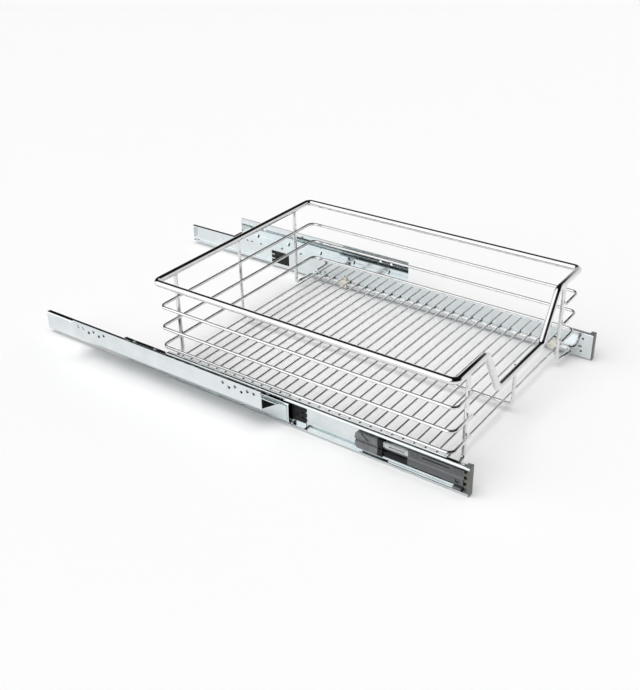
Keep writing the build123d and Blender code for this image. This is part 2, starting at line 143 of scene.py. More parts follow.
def towards_share(tree, direction, aim, outer, inner):
    """How far a direction lies inside a soft-edged cone about the aim, from 0 to 1."""
    node = tree.nodes.new("ShaderNodeVectorMath")
    node.operation = "DOT_PRODUCT"
    tree.links.new(direction, node.inputs[0])
    node.inputs[1].default_value = Vector(aim).normalized()
    edges = [math.cos(math.radians(angle)) for angle in (outer, inner)]
    return span(tree, node.outputs["Value"], *edges, 0.0, 1.0, soft=True)


# %% [markdown]
# The sky is dark but for a ring of pale wall and the soft box on the left, which glows
# faintly here because its lamp gives the light. The share behind the camera is unlit. All
# heights are those of a unit vector, so 0.5 is 30 degrees above the horizon.

# %% Build the room
wall_light, ceiling_light, unlit_share = 0.84, 0.012, 0.03
side_wall_top, rear_wall_top = 0.50, 0.22
sides_end, rear_starts = 0.25, 0.50
wall_edge = 0.07
soft_box_aim, soft_box_edges, soft_box_glow = (-0.72, 0.50, 0.48), (46.0, 38.0), 0.12
unlit_aim, unlit_edges = (-0.55, -0.80, 0.25), (66.0, 52.0)
room_tint = (1.0, 0.995, 0.985, 1.0)

scene = bpy.context.scene
world = bpy.data.worlds.new("studio_room")
scene.world = world
world.use_nodes = True
room = world.node_tree
room.nodes.clear()
room_output = room.nodes.new("ShaderNodeOutputWorld")
room_light = room.nodes.new("ShaderNodeBackground")
room_direction = room.nodes.new("ShaderNodeTexCoord").outputs["Generated"]
room_split = room.nodes.new("ShaderNodeSeparateXYZ")
room.links.new(room_direction, room_split.inputs["Vector"])
wall_top = span(
    room, room_split.outputs["Y"], sides_end, rear_starts, side_wall_top, rear_wall_top
)
above_wall = math_node(room, "SUBTRACT", room_split.outputs["Z"], wall_top)
wall = span(room, above_wall, -wall_edge, wall_edge, wall_light, ceiling_light, soft=True)
soft_box = towards_share(room, room_direction, soft_box_aim, *soft_box_edges)
lit = math_node(room, "MAXIMUM", wall, math_node(room, "MULTIPLY", soft_box, soft_box_glow))
unlit_side = towards_share(room, room_direction, unlit_aim, *unlit_edges)
shade = span(room, unlit_side, 0.0, 1.0, 1.0, unlit_share)
level = math_node(room, "MULTIPLY", lit, shade)
room.links.new(level, room_light.inputs["Strength"])
room_light.inputs["Color"].default_value = room_tint
room.links.new(room_light.outputs["Background"], room_output.inputs["Surface"])
print("room nodes:", len(room.nodes))

# %% [markdown]
# Two lamps carry the light that falls on the floor. A sun lamp with a very wide angle is
# a soft box in one direction. The one on the left fills the place of the soft box, so
# metal mirrors it as a plain bright field. The other hangs from the ceiling and fills in
# matt surfaces only: bends in the photo mirror a dark ceiling, so metal doesn't show it.

# %% Hang the lamps
def broad_lamp(name, towards, spread, strength):
    """A very large far-off soft box: a lamp as wide as the angle, in one direction."""
    data = bpy.data.lights.new(name, "SUN")
    data.angle = math.radians(spread)
    data.energy = strength
    lamp = bpy.data.objects.new(name, data)
    bpy.context.scene.collection.objects.link(lamp)
    lamp.matrix_world = Vector(towards).to_track_quat("Z", "Y").to_matrix().to_4x4()
    return lamp


broad_lamp("left_box", towards=(-0.70, 0.48, 0.53), spread=80.0, strength=1.55)
ceiling_box = broad_lamp("ceiling_box", towards=(-0.10, -0.05, 1.0), spread=60.0, strength=2.25)
ceiling_box.visible_glossy = False

# %% [markdown]
# The floor is one broad sheet of matt white card. It is nearly white, so the room's plain
# light brings it close to the white of the page, and it still shows the soft shadow that
# the wires cast.

# %% Lay the floor
floor_width = 30.0
floor_drop = 0.6 * mm
card_white = (0.92, 0.92, 0.922, 1.0)
bpy.ops.object.select_all(action="DESELECT")
bpy.ops.mesh.primitive_plane_add(size=floor_width, location=(0.0, 0.0, -floor_drop))
floor = bpy.context.object
floor.name = "studio_floor"
bpy.ops.object.transform_apply(location=True, rotation=True, scale=True)
card = bpy.data.materials.new("white_card")
card.use_nodes = True
card_shader = card.node_tree.nodes["Principled BSDF"]
card_shader.inputs["Base Color"].default_value = card_white
card_shader.inputs["Roughness"].default_value = 0.75
card_shader.inputs["Specular IOR Level"].default_value = 0.15
floor.data.materials.append(card)
print("floor laid at", round(floor.data.vertices[0].co.z, 4))

# %% [markdown]
# Finishes share a few effects, and each effect is a node group: made once, with named
# sockets, and placed in a material with its own values. The first is the faint unevenness
# of a plated or polished surface. It gives a slow height change, which makes reflections
# waver, and a cloudy mask that varies the polish.

# %% Make the plating group
def new_group(name, inputs, outputs):
    """An empty shader node group with the sockets that are asked for."""
    group = bpy.data.node_groups.new(name, "ShaderNodeTree")
    for label, kind, value in inputs:
        socket = group.interface.new_socket(label, in_out="INPUT", socket_type=kind)
        if value is not None:
            socket.default_value = value
    for label, kind in outputs:
        group.interface.new_socket(label, in_out="OUTPUT", socket_type=kind)
    start = group.nodes.new("NodeGroupInput")
    end = group.nodes.new("NodeGroupOutput")
    return group, start, end


def noise(tree, vector, scale, detail=4.0, roughness=0.55):
    """A noise texture that reads the given coordinates."""
    node = tree.nodes.new("ShaderNodeTexNoise")
    node.inputs["Detail"].default_value = detail
    node.inputs["Roughness"].default_value = roughness
    tree.links.new(vector, node.inputs["Vector"])
    if isinstance(scale, (int, float)):
        node.inputs["Scale"].default_value = scale
    else:
        tree.links.new(scale, node.inputs["Scale"])
    return node.outputs["Fac"]


def stretched(tree, vector, scale):
    """The coordinates, scaled differently along each axis."""
    node = tree.nodes.new("ShaderNodeMapping")
    node.inputs["Scale"].default_value = scale
    tree.links.new(vector, node.inputs["Vector"])
    return node.outputs["Vector"]


plating, start, end = new_group(
    "plating_unevenness",
    [("Vector", "NodeSocketVector", None), ("Scale", "NodeSocketFloat", 60.0)],
    [("Cloud", "NodeSocketFloat"), ("Height", "NodeSocketFloat")],
)
fine_to_slow = 9.0
fine_height = 0.15
slow = noise(plating, start.outputs["Vector"], start.outputs["Scale"], detail=2.0)
fine_scale = math_node(plating, "MULTIPLY", start.outputs["Scale"], fine_to_slow)
fine = noise(plating, start.outputs["Vector"], fine_scale, detail=3.0)
plating.links.new(span(plating, slow, 0.35, 0.65, 0.0, 1.0), end.inputs["Cloud"])
weak = math_node(plating, "MULTIPLY", fine, fine_height)
plating.links.new(math_node(plating, "ADD", slow, weak), end.inputs["Height"])
print("group made:", plating.name)

# %% [markdown]
# Rolled steel strip carries fine streaks along its length, from the rolls that made it.
# Stretching the coordinates before the noise draws them. The same group marks the odd
# short scratch from handling.

# %% Make the rolled strip group
strip, start, end = new_group(
    "rolled_strip",
    [("Vector", "NodeSocketVector", None)],
    [(label, "NodeSocketFloat") for label in ("Streaks", "Scratches", "Bloom")],
)
streak_stretch = (900.0, 14.0, 900.0)
scratch_stretch = (260.0, 30.0, 260.0)
scratch_turn = (math.radians(24.0), 0.0, math.radians(8.0))
bloom_scale = 38.0
along = stretched(strip, start.outputs["Vector"], streak_stretch)
streak = noise(strip, along, scale=1.0, detail=3.0, roughness=0.6)
strip.links.new(span(strip, streak, 0.3, 0.7, 0.0, 1.0), end.inputs["Streaks"])
slanted = strip.nodes.new("ShaderNodeMapping")
slanted.inputs["Rotation"].default_value = scratch_turn
slanted.inputs["Scale"].default_value = scratch_stretch
strip.links.new(start.outputs["Vector"], slanted.inputs["Vector"])
mark = noise(strip, slanted.outputs["Vector"], scale=2.0, detail=2.0, roughness=0.4)
strip.links.new(span(strip, mark, 0.66, 0.72, 0.0, 1.0), end.inputs["Scratches"])
cloudy = noise(strip, start.outputs["Vector"], bloom_scale, detail=5.0, roughness=0.6)
strip.links.new(span(strip, cloudy, 0.3, 0.7, 0.0, 1.0), end.inputs["Bloom"])
print("group made:", strip.name)

# %% [markdown]
# Moulded plastic has a fine grain from the tool it was made in, and its tone drifts a
# little from place to place. One group gives both.

# %% Make the moulded grain group
moulded, start, end = new_group(
    "moulded_grain",
    [("Vector", "NodeSocketVector", None)],
    [("Grain", "NodeSocketFloat"), ("Drift", "NodeSocketFloat")],
)
grain_scale, drift_scale = 2600.0, 70.0
grain = noise(moulded, start.outputs["Vector"], grain_scale, detail=2.0, roughness=0.5)
drift = noise(moulded, start.outputs["Vector"], drift_scale, detail=3.0, roughness=0.5)
moulded.links.new(grain, end.inputs["Grain"])
moulded.links.new(span(moulded, drift, 0.3, 0.7, 0.0, 1.0), end.inputs["Drift"])
print("group made:", moulded.name)

# %% [markdown]
# Every finish is one Principled shader. Values that are the same all over are set on the
# shader's own sockets, and what changes over the surface comes through links.

# %% Helpers for finishes
def new_finish(name):
    """A material with its shader, and the object's own coordinates."""
    material = bpy.data.materials.new(name)
    material.use_nodes = True
    tree = material.node_tree
    shader = tree.nodes["Principled BSDF"]
    place = tree.nodes.new("ShaderNodeTexCoord").outputs["Object"]
    return material, tree, shader, place


def placed(tree, group, vector, **values):
    """One use of a node group."""
    node = tree.nodes.new("ShaderNodeGroup")
    node.node_tree = group
    tree.links.new(vector, node.inputs["Vector"])
    for label, value in values.items():
        node.inputs[label].default_value = value
    return node.outputs


def blend_colour(tree, factor, low, high):
    """A colour between two colours or colour sockets."""
    node = tree.nodes.new("ShaderNodeMix")
    node.data_type = "RGBA"
    node.clamp_factor = True
    tree.links.new(factor, node.inputs[0])
    for index, colour in ((6, low), (7, high)):
        if isinstance(colour, tuple):
            node.inputs[index].default_value = (*colour, 1.0)
        else:
            tree.links.new(colour, node.inputs[index])
    return node.outputs[2]


def raise_surface(tree, shader, height, distance, strength=1.0):
    """Feeds a height into the shader's normal."""
    bump = tree.nodes.new("ShaderNodeBump")
    bump.inputs["Strength"].default_value = strength
    bump.inputs["Distance"].default_value = distance
    tree.links.new(height, bump.inputs["Height"])
    tree.links.new(bump.outputs["Normal"], shader.inputs["Normal"])


# %% [markdown]
# Chrome plate is nearly a perfect mirror, a touch darker and cooler than silver. Its only
# marks are slow waves where the wire was drawn, and faint clouds where the polish is a
# little softer.

# %% Chrome finish
chrome_dark, chrome_bright = (0.74, 0.74, 0.745), (0.80, 0.80, 0.80)
chrome_sharp, chrome_clouded = 0.035, 0.08
chrome_wave = 0.08 * mm
chrome, tree, shader, place = new_finish("bright_chrome_plate")
plate = placed(tree, plating, place, Scale=55.0)
shader.inputs["Metallic"].default_value = 1.0
tint = blend_colour(tree, plate["Cloud"], chrome_dark, chrome_bright)
tree.links.new(tint, shader.inputs["Base Color"])
polish = span(tree, plate["Cloud"], 0.0, 1.0, chrome_sharp, chrome_clouded)
tree.links.new(polish, shader.inputs["Roughness"])
raise_surface(tree, shader, plate["Height"], chrome_wave, strength=0.6)
print("finish made:", chrome.name)

# %% [markdown]
# The runners are cold-rolled strip with a bright zinc plate and a thin blue passivation.
# It is nearly as sharp a mirror as chrome, but streaks from rolling blur it along its
# length, and the blue film drifts towards straw in soft clouds.

# %% Zinc finish
zinc_blue, zinc_straw = (0.68, 0.74, 0.755), (0.78, 0.81, 0.82)
zinc_scratch = (0.86, 0.87, 0.88)
zinc_sharp, zinc_bloomed, streak_blur = 0.03, 0.065, 0.035
streak_depth = 0.01 * mm
zinc, tree, shader, place = new_finish("blue_bright_zinc")
sheet = placed(tree, strip, place)
shader.inputs["Metallic"].default_value = 1.0
film = blend_colour(tree, sheet["Bloom"], zinc_blue, zinc_straw)
scratched = span(tree, sheet["Scratches"], 0.0, 1.0, 0.0, 0.35)
film = blend_colour(tree, scratched, film, zinc_scratch)
tree.links.new(film, shader.inputs["Base Color"])
blur = math_node(tree, "MULTIPLY", sheet["Streaks"], streak_blur)
bloomed = span(tree, sheet["Bloom"], 0.0, 1.0, zinc_sharp, zinc_bloomed)
tree.links.new(math_node(tree, "ADD", blur, bloomed), shader.inputs["Roughness"])
raise_surface(tree, shader, sheet["Streaks"], streak_depth, strength=0.5)
print("finish made:", zinc.name)

# %% [markdown]
# Ground steel, for the balls and the rivets, is darker than the strip and has no blue film.

# %% Ground steel finish
steel_dark, steel_bright = (0.60, 0.60, 0.61), (0.72, 0.72, 0.72)
steel_sharp, steel_clouded = 0.10, 0.22
steel_wave = 0.02 * mm
steel, tree, shader, place = new_finish("ground_steel")
plate = placed(tree, plating, place, Scale=180.0)
shader.inputs["Metallic"].default_value = 1.0
tint = blend_colour(tree, plate["Cloud"], steel_dark, steel_bright)
tree.links.new(tint, shader.inputs["Base Color"])
polish = span(tree, plate["Cloud"], 0.0, 1.0, steel_sharp, steel_clouded)
tree.links.new(polish, shader.inputs["Roughness"])
raise_surface(tree, shader, plate["Height"], steel_wave, strength=0.5)
print("finish made:", steel.name)

# %% [markdown]
# Every moulded piece is the same kind of plastic in its own colour: slate for the body of
# the soft-close unit, pale grey for its spring bar, mid grey for the catch and the guide
# pads, olive grey for the end caps, black for the damper and the cage ends, and cream for
# the wire clips. They differ in colour and gloss only, so one function makes them all.

# %% Plastic finishes
grain_depth = 0.03 * mm


def plastic(name, dark, light, low_gloss, high_gloss, shine=0.5):
    """A moulded plastic, between two tones and two roughness values."""
    material, tree, shader, place = new_finish(name)
    surface = placed(tree, moulded, place)
    tone = blend_colour(tree, surface["Drift"], dark, light)
    gloss = span(tree, surface["Drift"], 0.0, 1.0, low_gloss, high_gloss)
    tree.links.new(tone, shader.inputs["Base Color"])
    tree.links.new(gloss, shader.inputs["Roughness"])
    shader.inputs["Specular IOR Level"].default_value = shine
    raise_surface(tree, shader, surface["Grain"], grain_depth, strength=0.35)
    return material


slate_plastic = plastic(
    "slate_acetal", (0.040, 0.046, 0.051), (0.056, 0.063, 0.069), 0.16, 0.24, shine=1.0
)
grey_plastic = plastic(
    "grey_acetal", (0.105, 0.112, 0.117), (0.150, 0.157, 0.163), 0.22, 0.34, shine=0.8
)
pale_plastic = plastic("pale_acetal", (0.50, 0.52, 0.52), (0.58, 0.60, 0.60), 0.32, 0.42)
olive_plastic = plastic(
    "olive_acetal", (0.108, 0.114, 0.100), (0.140, 0.147, 0.130), 0.36, 0.48
)
black_plastic = plastic(
    "black_nylon", (0.008, 0.008, 0.009), (0.014, 0.014, 0.016), 0.32, 0.45, shine=0.2
)
cream_plastic = plastic("cream_acetal", (0.72, 0.69, 0.60), (0.78, 0.75, 0.67), 0.35, 0.45)
print("plastics made: 6")

# %% [markdown]
# The basket is bent from steel wire, and light slides along round wire in one unbroken
# line, so each wire needs a truly round section and smooth bends. It is made as a bender
# makes it: a ring of points is the section, each straight is an extrusion along it, and
# each corner is a spin about the centre of the bend.

# %% Helpers that finish a piece
end_break = 0.35 * mm


def settle(name, finish):
    """Names the object in hand, puts its place in its mesh and gives it a finish."""
    piece = bpy.context.object
    piece.name = name
    piece.data.name = name
    bpy.ops.object.transform_apply(location=True, rotation=True, scale=True)
    piece.data.materials.clear()
    piece.data.materials.append(finish)
    return piece


def close_and_smooth(angle=40.0):
    """Merges doubled points, turns every face outwards and shades the round parts smooth."""
    bpy.ops.mesh.select_all(action="SELECT")
    bpy.ops.mesh.remove_doubles(threshold=0.002 * mm)
    bpy.ops.mesh.normals_make_consistent(inside=False)
    bpy.ops.object.mode_set(mode="OBJECT")
    bpy.ops.object.shade_smooth_by_angle(angle=math.radians(angle))


def close_ends():
    """Fills the open ends of the wire in hand and breaks their sharp edge."""
    bpy.ops.mesh.select_all(action="DESELECT")
    bpy.ops.mesh.select_non_manifold(extend=False)
    bpy.ops.mesh.fill_holes(sides=0)
    bpy.ops.mesh.select_all(action="DESELECT")
    shape = bmesh.from_edit_mesh(bpy.context.object.data)
    for face in shape.faces:
        face.select = len(face.verts) > 4
    shape.select_flush_mode()
    bmesh.update_edit_mesh(bpy.context.object.data)
    bpy.ops.mesh.bevel(offset=end_break, segments=2, affect="EDGES")


def stand_for(piece, body, slot, *nodes):
    """Puts a finished piece in the place of its CAD nodes."""
    if nodes:
        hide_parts(*nodes)
    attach(piece, body)
    print(piece.name, len(piece.data.polygons), "faces")


# %% [markdown]
# A bend needs only the corner of its route and its radius: where it starts and ends and
# the axis it turns about follow from them.

# %% Helper that bends a wire
bend_step = 9


def bend_at(before, corner, after, radius):
    """Where a bend starts and ends, its centre, its axis and its angle."""
    coming = (corner - before).normalized()
    going = (after - corner).normalized()
    angle = coming.angle(going)
    reach = radius * math.tan(angle / 2)
    inward = (going - coming * coming.dot(going)).normalized()
    first = corner - coming * reach
    return first, corner + going * reach, first + inward * radius, going.cross(coming), angle


def bent_wire(name, corners, radii, diameter, closed=False, sides=20):
    """A round wire through the corners of its route, spun round each bend."""
    corners = [Vector(corner) for corner in corners]
    count = len(corners)
    inner = range(count) if closed else range(1, count - 1)
    bends = [
        bend_at(corners[i - 1], corners[i], corners[(i + 1) % count], radius)
        for i, radius in zip(inner, radii)
    ]
    here = bends[-1][1] if closed else corners[0]
    heading = (bends[0][0] - here).normalized()
    bpy.ops.object.select_all(action="DESELECT")
    bpy.ops.mesh.primitive_circle_add(
        vertices=sides, radius=diameter / 2, location=here,
        rotation=heading.to_track_quat("Z", "Y").to_euler(),
    )
    wire = settle(name, chrome)
    bpy.ops.object.mode_set(mode="EDIT")
    bpy.ops.mesh.select_all(action="SELECT")
    for start, finish, centre, axis, angle in bends:
        bpy.ops.mesh.extrude_region_move(TRANSFORM_OT_translate={"value": start - here})
        steps = max(3, round(math.degrees(angle) / bend_step))
        bpy.ops.mesh.spin(steps=steps, angle=angle, center=centre, axis=axis)
        here = finish
    if not closed:
        bpy.ops.mesh.extrude_region_move(TRANSFORM_OT_translate={"value": corners[-1] - here})
        close_ends()
    close_and_smooth()
    return wire


# %% [markdown]
# The rim is the thickest wire, one closed loop that dips in a V at the front so that a
# hand can reach in. Its place comes from the box of its CAD node. The photo shows it
# thicker than the CAD wire, 10 mm, and over the rear posts. The loop here has that
# thickness, with its top as high as the CAD rim's and its sides about the same middle.

# %% Bend the rim
def wire_box(node, diameter):
    """The lowest and highest corners of a node, drawn in to the middle of its wire."""
    low, high = (Vector(corner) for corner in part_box(node))
    inset = Vector((diameter / 2,) * 3)
    return low + inset, high - inset


rim_thickness = 10.0 * mm
rim_corner = 9.0 * mm
dip_corner = 12.0 * mm
dip_top_half = 110.0 * mm
dip_foot_half = 69.0 * mm
cad_rim_thickness = 7.0 * mm
rear_post_lean = 3.0 * mm
dip_height = 77.0 * mm
weld_depth = 0.6 * mm
rim_low, rim_high = wire_box("basket_rim", cad_rim_thickness)
left_x, right_x = rim_low.x, rim_high.x
front_y = rim_low.y
rear_y = rim_high.y + rear_post_lean
top_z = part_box("basket_rim")[1][2] - rim_thickness / 2
rim = bent_wire(
    "rim_wire",
    [
        (right_x, rear_y, top_z), (right_x, front_y, top_z),
        (dip_top_half, front_y, top_z), (dip_foot_half, front_y, dip_height),
        (-dip_foot_half, front_y, dip_height), (-dip_top_half, front_y, top_z),
        (left_x, front_y, top_z), (left_x, rear_y, top_z),
    ],
    [rim_corner] * 2 + [dip_corner] * 4 + [rim_corner] * 2,
    rim_thickness, closed=True, sides=28,
)
stand_for(rim, "basket", "chrome_wire", "basket_rim")

# %% [markdown]
# Each side is one wire: front post, foot, the long rail that lies on the runner, foot and
# rear post. The left one mirrors the right one, so the same route is bent twice.

# %% Bend the two side wires
side_thickness = 6.0 * mm
side_corner = 8.0 * mm
front_post_setback = 7.55 * mm
side_low, side_high = wire_box("right_side_wire", side_thickness)
post_top_z = top_z - rim_thickness / 2 + weld_depth
post_x, rail_x = side_low.x, side_high.x
foot_front_y, foot_rear_y, foot_z = side_low.y, side_high.y, side_low.z
post_front_y = foot_front_y + front_post_setback
for side, sign in (("right", 1), ("left", -1)):
    wire = bent_wire(
        side + "_rail_wire",
        [
            (sign * post_x, post_front_y, post_top_z), (sign * post_x, post_front_y, foot_z),
            (sign * rail_x, foot_front_y, foot_z), (sign * rail_x, foot_rear_y, foot_z),
            (sign * post_x, foot_rear_y, foot_z), (sign * post_x, foot_rear_y, post_top_z),
        ],
        [side_corner] * 4,
        side_thickness,
    )
    stand_for(wire, "basket", "chrome_wire", side + "_side_wire")

# %% [markdown]
# Three thin wires run round the sides and the rear. They stop at the front posts, on the
# outside of them, so the dip stays open.

# %% Bend the three rings
ring_thickness = 4.6 * mm
ring_corner = 10.0 * mm
ring_end_x = post_x - side_thickness / 2
for level in ("upper", "middle", "lower"):
    low, high = wire_box("basket_" + level + "_ring", ring_thickness)
    ring = bent_wire(
        level + "_ring_wire",
        [
            (-ring_end_x, low.y, low.z), (low.x, low.y, low.z), (low.x, high.y, low.z),
            (high.x, high.y, low.z), (high.x, low.y, low.z), (ring_end_x, low.y, low.z),
        ],
        [ring_corner] * 4,
        ring_thickness,
    )
    stand_for(ring, "basket", "chrome_wire", "basket_" + level + "_ring")

# %% [markdown]
# One wire runs down the middle of the rear, under the floor, and up to the low front bar.

# %% Bend the centre wire
centre_thickness = 5.0 * mm
low, high = wire_box("basket_centre_wire", centre_thickness)
centre = bent_wire(
    "floor_centre_wire",
    [(0, low.y, dip_height), (0, low.y, low.z), (0, high.y, low.z), (0, high.y, post_top_z)],
    [side_corner] * 2,
    centre_thickness,
)
stand_for(centre, "basket", "chrome_wire", "basket_centre_wire")

# %% [markdown]
# The floor is 28 straight wires across the two side rails. One is made, with its ends
# broken by a small bevel, and the others are copies, each a pitch further back.

# %% Lay the floor wires
floor_count = 28
floor_thickness = 3.0 * mm
floor_low, floor_high = (Vector(corner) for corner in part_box("basket_cross_wires"))
first_y = floor_low.y + floor_thickness / 2
floor_pitch = (floor_high.y - floor_low.y - floor_thickness) / (floor_count - 1)
floor_z = (floor_low.z + floor_high.z) / 2
bpy.ops.object.select_all(action="DESELECT")
bpy.ops.mesh.primitive_circle_add(
    vertices=16, radius=floor_thickness / 2, location=(floor_low.x, first_y, floor_z),
    rotation=(0.0, math.radians(90.0), 0.0),
)
floor_wires = settle("floor_wires", chrome)
bpy.ops.object.mode_set(mode="EDIT")
bpy.ops.mesh.select_all(action="SELECT")
wire_run = (floor_high.x - floor_low.x, 0, 0)
bpy.ops.mesh.extrude_region_move(TRANSFORM_OT_translate={"value": wire_run})
close_ends()
bpy.ops.mesh.select_all(action="SELECT")
for step in range(1, floor_count):
    bpy.ops.mesh.duplicate_move(TRANSFORM_OT_translate={"value": (0, floor_pitch, 0)})
close_and_smooth()
stand_for(floor_wires, "basket", "chrome_wire", "basket_cross_wires")

# %% [markdown]
# Where two wires cross they are resistance welded: the current melts them together, and a
# little metal is squeezed out as a bead round the joint. The beads are small, but without
# them the wires look laid on each other. One bead is a sphere squashed to a lens with a
# swollen waist, and it is copied to every crossing.

# %% Set the weld beads
rail_bead_size, centre_bead_size = 1.0, 0.9
bead_radius = 1.0 * mm
waist = 0.1 * mm
waist_swell = (1.12, 1.12, 1.0)
bead_spread = (2.1, 1.95, 1.0)
bead_z = floor_z - floor_thickness / 2
bead_places = []
for step in range(floor_count):
    y = first_y + floor_pitch * step
    for x in (-rail_x, rail_x):
        bead_places.append((x, y, bead_z, rail_bead_size))
    bead_places.append((0.0, y, bead_z, centre_bead_size))
bpy.ops.object.select_all(action="DESELECT")
bpy.ops.mesh.primitive_uv_sphere_add(segments=12, ring_count=8, radius=bead_radius)
bead = settle("weld_bead", chrome)
bpy.ops.object.mode_set(mode="EDIT")
shape = bmesh.from_edit_mesh(bead.data)
for vertex in shape.verts:
    vertex.select = abs(vertex.co.z) < waist
shape.select_flush_mode()
bmesh.update_edit_mesh(bead.data)
bpy.ops.transform.resize(value=waist_swell, center_override=(0, 0, 0))
bpy.ops.mesh.select_all(action="SELECT")
bpy.ops.transform.resize(value=bead_spread, center_override=(0, 0, 0))
bpy.ops.object.mode_set(mode="OBJECT")
bpy.ops.object.shade_smooth()
bead_shape = bead.data.copy()
beads = bmesh.new()
for x, y, z, size in bead_places:
    before = len(beads.verts)
    beads.from_mesh(bead_shape)
    beads.verts.ensure_lookup_table()
    for vertex in beads.verts[before:]:
        vertex.co = vertex.co * size + Vector((x, y, z))
beads.to_mesh(bead.data)
beads.free()
bead.name = "floor_weld_beads"
stand_for(bead, "basket", "chrome_wire")

# %% [markdown]
# The balls are bearing balls, true spheres with a ground surface. A half circle of points
# is spun once round its own axis to make one, and a copy sits in each window of the cage.

# %% Set the balls in their cages
ball_size = 4.6 * mm
balls_in_row = 8
left_of_axis = -0.01 * mm
for side in ("left", "right"):
    low, high = (Vector(corner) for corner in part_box(side + "_cage_balls"))
    radius = ball_size / 2
    pitch = (high.y - low.y - ball_size) / (balls_in_row - 1)
    middle_x = (low.x + high.x) / 2
    bpy.ops.object.select_all(action="DESELECT")
    bpy.ops.mesh.primitive_circle_add(
        vertices=24, radius=radius, rotation=(math.radians(90.0), 0, 0)
    )
    ball = settle(side + "_bearing_balls", steel)
    bpy.ops.object.mode_set(mode="EDIT")
    shape = bmesh.from_edit_mesh(ball.data)
    for vertex in shape.verts:
        vertex.select = vertex.co.x < left_of_axis
    shape.select_flush_mode()
    bmesh.update_edit_mesh(ball.data)
    bpy.ops.mesh.delete(type="VERT")
    bpy.ops.mesh.select_all(action="SELECT")
    bpy.ops.mesh.spin(steps=20, angle=math.tau, center=(0, 0, 0), axis=(0, 0, 1))
    close_and_smooth(angle=80.0)
    one_ball = ball.data.copy()
    row = bmesh.new()
    for step in range(balls_in_row):
        for z in (low.z + radius, high.z - radius):
            before = len(row.verts)
            row.from_mesh(one_ball)
            row.verts.ensure_lookup_table()
            for vertex in row.verts[before:]:
                vertex.co += Vector((middle_x, low.y + radius + pitch * step, z))
    row.to_mesh(ball.data)
    row.free()
    stand_for(ball, side + "_cage", "polished_steel", side + "_cage_balls")

# %% [markdown]
# The soft-close unit sits in the front half of each runner, open to view on the side of
# the cabinet. Its fixed body is moulded: a flat spring box along the top, and under it a
# round sleeve for the damper. Boxes are cut to length first, and bevels with several
# segments then turn their long edges into the round of the sleeve.

# %% Helpers for moulded blocks
overcut = 1.0 * mm
edge_reach = 0.1 * mm


def near_and_far(low, high, sign):
    """The two x of a box: first the one towards the basket's middle, then the other."""
    return (low[0], high[0]) if sign > 0 else (high[0], low[0])


def outwards(face_x, sign, *depths):
    """Places across the runner, by their depth from a face, away from the middle."""
    return [face_x + sign * depth for depth in depths]


def block_piece(name, across, along, height, finish):
    """A box between two limits along each axis, ready to be shaped."""
    bpy.ops.object.select_all(action="DESELECT")
    bpy.ops.mesh.primitive_cube_add(size=1.0)
    piece = bpy.context.object
    one, other = (Vector(corner) for corner in zip(across, along, height))
    low, high = Vector(map(min, one, other)), Vector(map(max, one, other))
    piece.location = (low + high) / 2
    piece.scale = high - low
    return settle(name, finish)


def bevel_where(piece, wanted, width, segments=3):
    """Bevels the edges that the test picks by their middle and direction."""
    bpy.ops.object.select_all(action="DESELECT")
    bpy.context.view_layer.objects.active = piece
    piece.select_set(True)
    bpy.ops.object.mode_set(mode="EDIT")
    bpy.ops.mesh.select_mode(type="EDGE")
    bpy.ops.mesh.select_all(action="DESELECT")
    shape = bmesh.from_edit_mesh(piece.data)
    for edge in shape.edges:
        start, end = edge.verts[0].co, edge.verts[1].co
        edge.select = wanted((start + end) / 2, (end - start).normalized())
    shape.select_flush_mode()
    bmesh.update_edit_mesh(piece.data)
    bpy.ops.mesh.bevel(offset=width, segments=segments, affect="EDGES")
    bpy.ops.mesh.select_mode(type="VERT")
    bpy.ops.object.mode_set(mode="OBJECT")


def cut_out(piece, *cutters):
    """Takes the cutters' shapes out of the piece, and the cutters out of the scene."""
    for cutter in cutters:
        cut = piece.modifiers.new("cut", "BOOLEAN")
        cut.operation = "DIFFERENCE"
        cut.solver = "EXACT"
        cut.object = cutter
        bpy.ops.object.select_all(action="DESELECT")
        bpy.context.view_layer.objects.active = piece
        piece.select_set(True)
        bpy.ops.object.modifier_apply(modifier=cut.name)
        bpy.data.objects.remove(cutter)
    return piece


def join_pieces(piece, *others):
    """Joins moulded parts of one piece into one mesh and softens its shading."""
    bpy.ops.object.select_all(action="DESELECT")
    for part in (piece, *others):
        part.select_set(True)
    bpy.context.view_layer.objects.active = piece
    if others:
        bpy.ops.object.join()
    bpy.ops.object.shade_smooth_by_angle(angle=math.radians(35.0))
    return piece


def along_run(direction):
    """True for an edge that runs along the runner."""
    return abs(direction.y) > 0.99


# %% [markdown]
# The body holds two rooms. The upper one takes the spring bar as the catch comes home, and
# the lower one takes the damper's tube. Here and below, depths are measured outwards from
# the face on the basket's side, and heights from the ground.

# %% Sizes of the soft-close bodies
housing_length = 79.6 * mm
sleeve_heights, sleeve_round = (8.6 * mm, 27.6 * mm), 7.0 * mm
box_heights, box_depth, box_round = (24.2 * mm, 35.2 * mm), 6.2 * mm, 0.9 * mm
rib_places = [place * mm for place in (4.0, 8.5, 13.0, 66.0, 73.0)]
rib_width = 1.4 * mm
rib_depths = (box_depth - 0.4 * mm, box_depth + 0.5 * mm)
rib_heights = (27.8 * mm, box_heights[1] - 0.4 * mm)
arm_depths, arm_heights = (2.1 * mm, 4.1 * mm), (20.6 * mm, 23.6 * mm)
arm_root = 1.0 * mm
bar_room_depths, bar_room_heights = (1.9 * mm, 5.6 * mm), (23.6 * mm, 31.9 * mm)
bar_room_length = 46.0 * mm
damper_room_depths, damper_room_heights = (1.0 * mm, 6.9 * mm), (9.6 * mm, 17.8 * mm)
damper_room_length = 50.0 * mm
pocket_depth, pocket_heights = 1.6 * mm, (15.0 * mm, 20.5 * mm)
pocket_start, pocket_end = 5.0 * mm, 11.0 * mm
